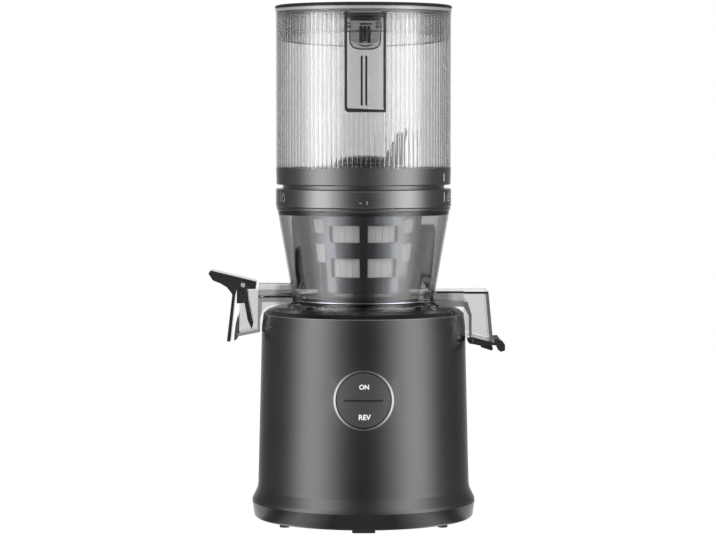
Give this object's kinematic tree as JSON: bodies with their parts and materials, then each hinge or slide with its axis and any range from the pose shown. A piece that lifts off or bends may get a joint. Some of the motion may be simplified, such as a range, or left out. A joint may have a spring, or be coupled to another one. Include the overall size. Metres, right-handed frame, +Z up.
{
  "type": "cold press juicer",
  "caption": "Vertical slow juicer: dark satin base with a rocker button, clear chamber with juice spout and pulp chute, tall clear hopper with a hinged lid.",
  "frame": {"origin": "on the drive axis, at the surface that the feet stand on, amid the four foot studs", "axes": "+Z up along the drive axis, -Y to the front with the button, -X to the juice spout"},
  "size_m": [0.2352, 0.178, 0.4099],
  "materials": {
    "satin_body": "satin",
    "gloss_base": "gloss",
    "black_plastic": "matte",
    "rubber": "matte",
    "bright_metal": "polished",
    "button_face": "satin",
    "steel": "brushed",
    "copper": "enamelled wire",
    "bronze": "sintered bronze",
    "board_green": "solder mask",
    "components": "mixed",
    "gear_nylon": "moulded",
    "smoke_clear": "clear smoke plastic",
    "dark_clear": "dark translucent plastic",
    "clear": "clear plastic",
    "dark_gloss": "gloss",
    "strainer_grey": "gloss",
    "auger_black": "satin",
    "socket_grey": "moulded"
  },
  "bodies": {
    "root": {"housing_shell": "satin_body", "base_ring": "gloss_base", "bottom_cover": "black_plastic", "housing_screws": "steel", "foot_pads": "rubber", "foot_studs": "rubber", "button_bezel": "bright_metal", "switch_box": "black_plastic", "button_microswitches": "black_plastic", "control_board": "board_green", "board_components": "components", "cord_gland": "black_plastic", "motor_can": "steel", "motor_end_bell": "black_plastic", "motor_bearings": "steel", "stator_core": "steel", "stator_windings": "copper", "motor_mount_plate": "steel", "motor_mount_bushes": "rubber", "gearbox_case": "black_plastic", "gearbox_plate": "black_plastic", "gearbox_cover": "black_plastic", "idler_axle": "steel", "drive_bushes": "bronze", "shaft_seal": "rubber"},
    "drive": {"output_gear": "gear_nylon", "drive_shaft": "steel"},
    "idler": {"idler_gear": "gear_nylon"},
    "motor_rotor": {"motor_shaft": "steel", "rotor_core": "steel", "cooling_fan": "black_plastic", "motor_pinion": "steel"},
    "button": {"rocker_button": "button_face"},
    "chamber": {"chamber_bowl": "smoke_clear", "chamber_ring": "dark_clear", "hub_seal": "rubber", "wiper_seat_ring": "dark_gloss", "chamber_pins": "steel", "spout_lip": "rubber", "strainer": "strainer_grey"},
    "auger": {"auger_gear": "gear_nylon", "auger_socket": "socket_grey", "auger_body": "auger_black", "auger_horn": "auger_black"},
    "wiper": {"wiper_frame": "dark_gloss", "wiper_blades": "dark_gloss"},
    "wiper_idler": {"wiper_idler_gear": "gear_nylon"},
    "juice_cap": {"juice_cap_lever": "dark_gloss", "juice_cap_gate": "dark_gloss"},
    "pulp_door": {"pulp_door": "dark_gloss", "pulp_door_seal": "rubber"},
    "hopper": {"hopper_ring": "dark_clear", "hopper_tube": "clear", "latch_frame": "dark_gloss", "latch_window": "clear", "lid_hinge_pin": "steel"},
    "lid": {"lid_plate": "dark_gloss", "lid_skirt": "clear", "latch_pin": "steel"},
    "latch": {"lid_latch": "clear"}
  },
  "joints": [
    {"name": "drive_spin", "type": "hinge", "parent": "root", "child": "drive", "pos_m": [0, 0, 0.14], "axis": [0, 0, 1], "continuous": true},
    {"name": "idler_spin", "type": "hinge", "parent": "root", "child": "idler", "pos_m": [0, 0.036, 0.13], "axis": [0, 0, 1], "continuous": true},
    {"name": "motor_spin", "type": "hinge", "parent": "root", "child": "motor_rotor", "pos_m": [0, 0, 0.08], "axis": [0, 0, 1], "continuous": true},
    {"name": "button_rock", "type": "hinge", "parent": "root", "child": "button", "pos_m": [0, -0.0744, 0.1035], "axis": [1, 0, 0], "range_deg": [-3, 3], "stiffness_Nm_per_rad": 0.3},
    {"name": "chamber_lift", "type": "slide", "parent": "root", "child": "chamber", "axis": [0, 0, 1], "range_m": [0, 0.075]},
    {"name": "auger_spin", "type": "hinge", "parent": "chamber", "child": "auger", "pos_m": [0, 0, 0.22], "axis": [0, 0, 1], "continuous": true},
    {"name": "wiper_spin", "type": "hinge", "parent": "chamber", "child": "wiper", "pos_m": [0, 0, 0.21], "axis": [0, 0, 1], "continuous": true},
    {"name": "wiper_idler_spin", "type": "hinge", "parent": "chamber", "child": "wiper_idler", "pos_m": [0, 0.0205, 0.186], "axis": [0, 0, 1], "continuous": true},
    {"name": "juice_cap_hinge", "type": "hinge", "parent": "chamber", "child": "juice_cap", "pos_m": [-0.0956, 0, 0.1886], "axis": [0, 1, 0], "range_deg": [0, 70]},
    {"name": "pulp_door_hinge", "type": "hinge", "parent": "chamber", "child": "pulp_door", "pos_m": [0.085, 0, 0.1452], "axis": [0, 1, 0], "range_deg": [0, 60], "stiffness_Nm_per_rad": 0.01, "springref_deg": -34.38},
    {"name": "hopper_lift", "type": "slide", "parent": "chamber", "child": "hopper", "axis": [0, 0, 1], "range_m": [0, 0.06]},
    {"name": "lid_hinge", "type": "hinge", "parent": "hopper", "child": "lid", "pos_m": [0, 0.074, 0.4044], "axis": [-1, 0, 0], "range_deg": [0, 100]},
    {"name": "latch_flex", "type": "hinge", "parent": "lid", "child": "latch", "pos_m": [0.0012, -0.0626, 0.4006], "axis": [1, 0, 0], "range_deg": [0, 8], "stiffness_Nm_per_rad": 0.01, "springref_deg": -5.73}
  ],
  "couplings": [
    {"joint": "idler_spin", "follows": "drive_spin", "ratio": -5},
    {"joint": "motor_spin", "follows": "drive_spin", "ratio": 25},
    {"joint": "auger_spin", "follows": "drive_spin", "ratio": 1},
    {"joint": "wiper_idler_spin", "follows": "drive_spin", "ratio": -2.1538},
    {"joint": "wiper_spin", "follows": "drive_spin", "ratio": -0.51852}
  ]
}
